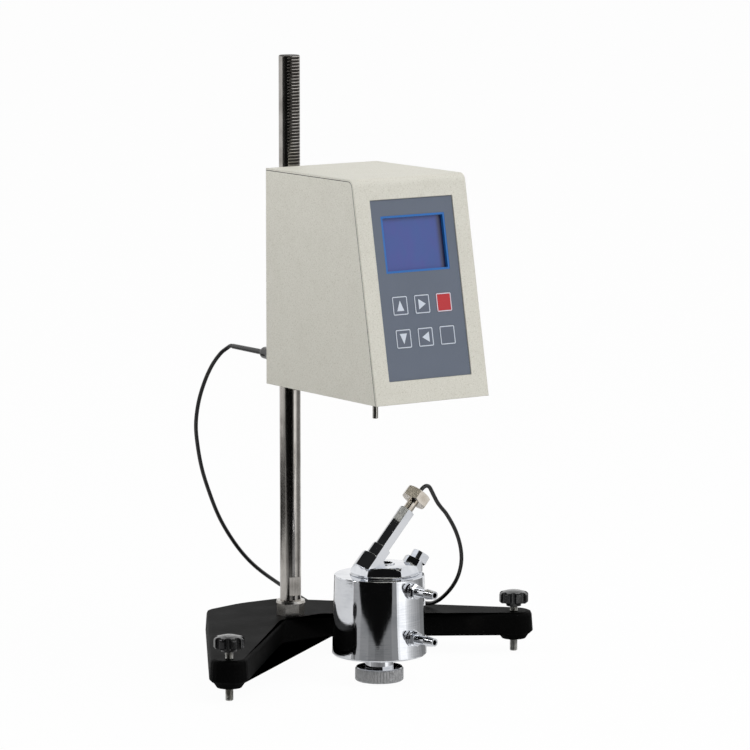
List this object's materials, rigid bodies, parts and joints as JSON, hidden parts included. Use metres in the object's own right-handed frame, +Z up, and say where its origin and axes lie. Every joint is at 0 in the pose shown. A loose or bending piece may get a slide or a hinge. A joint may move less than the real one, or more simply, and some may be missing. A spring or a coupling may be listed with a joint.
{
  "type": "rotational viscometer",
  "caption": "Bench viscometer: a geared head with display and keypad lifts on a rack column over a jacketed sample vessel with probe, hose nozzles and levelling base.",
  "frame": {"origin": "on the spindle's axis at bench level, in the bottom face of the vessel's foot nut", "axes": "+X to the right as seen from the front, +Y to the back, +Z up along the column and the spindle"},
  "size_m": [0.4052, 0.3513, 0.6],
  "materials": {
    "base_black": "wrinkle",
    "moulded_black": "polished",
    "column_steel": "brushed",
    "nut_steel": "machined",
    "zinc": "plated",
    "cream_paint": "powder coat",
    "slate_film": "matt film",
    "blue_rim": "printed",
    "display_violet": "smooth",
    "key_slate": "matt film",
    "key_red": "matt film",
    "board_green": "solder mask",
    "plate_alloy": "milled",
    "motor_grey": "turned",
    "spring_brass": "rolled",
    "spindle_steel": "ground",
    "jewel_red": "polished",
    "bracket_iron": "painted",
    "bronze": "turned",
    "nylon": "moulded",
    "lead_rubber": "smooth",
    "chrome": "mirror plated",
    "well_steel": "turned",
    "nickel": "satin nickel"
  },
  "bodies": {
    "stand": {"base_casting": "base_black", "rear_foot": "moulded_black", "column": "column_steel", "column_nut": "nut_steel", "under_nut": "zinc", "head_lead": "lead_rubber", "vessel_lead": "lead_rubber"},
    "left_screw": {"left_stud": "zinc"},
    "left_handknob": {"left_knob": "moulded_black"},
    "right_screw": {"right_stud": "zinc"},
    "right_handknob": {"right_knob": "moulded_black"},
    "head": {"front_cover": "cream_paint", "side_shell": "cream_paint", "bottom_plate": "cream_paint", "keypad_panel": "slate_film", "panel_plate": "zinc", "display_frame": "blue_rim", "display_module": "display_violet", "main_board": "board_green", "power_board": "board_green", "power_inlet": "moulded_black", "lower_posts": "zinc", "upper_posts": "zinc", "lower_bridge": "plate_alloy", "motor_plate": "plate_alloy", "gear_motor": "motor_grey", "lower_bearing": "jewel_red", "disc_sensors": "moulded_black", "lift_bracket": "bracket_iron", "upper_bush": "bronze", "lower_bush": "bronze", "bracket_screws": "zinc", "brake_pad": "nylon", "lead_gland": "moulded_black", "lead_boot": "lead_rubber"},
    "up_key": {"key_up": "key_slate"},
    "right_key": {"key_right": "key_slate"},
    "red_key": {"key_red": "key_red"},
    "down_key": {"key_down": "key_slate"},
    "left_key": {"key_left": "key_slate"},
    "blank_key": {"key_blank": "key_slate"},
    "rocker": {"power_rocker": "moulded_black"},
    "drive": {"drive_hub": "plate_alloy", "torsion_spring": "spring_brass"},
    "spindle": {"pivot_shaft": "spindle_steel"},
    "pinion": {"pinion_shaft": "spindle_steel", "lift_knob": "moulded_black"},
    "clamp": {"clamp_knob": "moulded_black"},
    "vessel": {"jacket_shell": "chrome", "sample_well": "well_steel", "vessel_lid": "chrome", "lid_seal": "lead_rubber", "probe_boss": "chrome", "probe_sleeve": "chrome", "probe_tube": "nickel", "probe_nut": "nickel", "port_plug": "chrome", "upper_nozzle": "chrome", "lower_nozzle": "chrome"},
    "foot": {"foot_nut": "chrome"}
  },
  "joints": [
    {"name": "head_lift", "type": "slide", "parent": "stand", "child": "head", "axis": [0, 0, 1], "range_m": [-0.075, 0.14]},
    {"name": "lift_knob_turn", "type": "hinge", "parent": "head", "child": "pinion", "pos_m": [0.03, 0.13185, 0.39], "axis": [1, 0, 0], "range_deg": [-1010, 540]},
    {"name": "clamp_turn", "type": "hinge", "parent": "head", "child": "clamp", "pos_m": [0.03, 0.149, 0.357], "axis": [1, 0, 0], "range_deg": [0, 180]},
    {"name": "left_level_travel", "type": "slide", "parent": "stand", "child": "left_screw", "axis": [0, 0, 1], "range_m": [-0.005, 0.005]},
    {"name": "left_level_turn", "type": "hinge", "parent": "left_screw", "child": "left_handknob", "pos_m": [-0.16873, 0.00059, 0.05], "axis": [0, 0, 1], "range_deg": [-1440, 1440]},
    {"name": "right_level_travel", "type": "slide", "parent": "stand", "child": "right_screw", "axis": [0, 0, 1], "range_m": [-0.004, 0.005]},
    {"name": "right_level_turn", "type": "hinge", "parent": "right_screw", "child": "right_handknob", "pos_m": [0.19704, 0.04097, 0.05], "axis": [0, 0, 1], "range_deg": [-1152, 1440]},
    {"name": "up_press", "type": "slide", "parent": "head", "child": "up_key", "axis": [0, 0.9816, -0.1908], "range_m": [0, 0.0004], "stiffness_N_per_m": 1500, "springref_m": -0.0004},
    {"name": "right_press", "type": "slide", "parent": "head", "child": "right_key", "axis": [0, 0.9816, -0.1908], "range_m": [0, 0.0004], "stiffness_N_per_m": 1500, "springref_m": -0.0004},
    {"name": "red_press", "type": "slide", "parent": "head", "child": "red_key", "axis": [0, 0.9816, -0.1908], "range_m": [0, 0.0004], "stiffness_N_per_m": 1500, "springref_m": -0.0004},
    {"name": "down_press", "type": "slide", "parent": "head", "child": "down_key", "axis": [0, 0.9816, -0.1908], "range_m": [0, 0.0004], "stiffness_N_per_m": 1500, "springref_m": -0.0004},
    {"name": "left_press", "type": "slide", "parent": "head", "child": "left_key", "axis": [0, 0.9816, -0.1908], "range_m": [0, 0.0004], "stiffness_N_per_m": 1500, "springref_m": -0.0004},
    {"name": "blank_press", "type": "slide", "parent": "head", "child": "blank_key", "axis": [0, 0.9816, -0.1908], "range_m": [0, 0.0004], "stiffness_N_per_m": 1500, "springref_m": -0.0004},
    {"name": "rocker_tilt", "type": "hinge", "parent": "head", "child": "rocker", "pos_m": [0.047, 0.0883, 0.34], "axis": [1, 0, 0], "range_deg": [-12, 0]},
    {"name": "drive_turn", "type": "hinge", "parent": "head", "child": "drive", "pos_m": [0, 0, 0.346], "axis": [0, 0, 1], "continuous": true},
    {"name": "spindle_deflection", "type": "hinge", "parent": "drive", "child": "spindle", "pos_m": [0, 0, 0.32], "axis": [0, 0, 1], "range_deg": [-85, 85], "stiffness_Nm_per_rad": 0.0012},
    {"name": "vessel_slide", "type": "slide", "parent": "stand", "child": "vessel", "axis": [0, -1, 0], "range_m": [0, 0.12]},
    {"name": "foot_nut_turn", "type": "hinge", "parent": "vessel", "child": "foot", "pos_m": [0.004, -0.001, 0.006], "axis": [0, 0, 1], "range_deg": [-180, 180]}
  ],
  "couplings": [
    {"joint": "lift_knob_turn", "follows": "head_lift", "rad_per_m": -125},
    {"joint": "left_level_turn", "follows": "left_level_travel", "rad_per_m": 5026.5},
    {"joint": "right_level_turn", "follows": "right_level_travel", "rad_per_m": 5026.5}
  ]
}
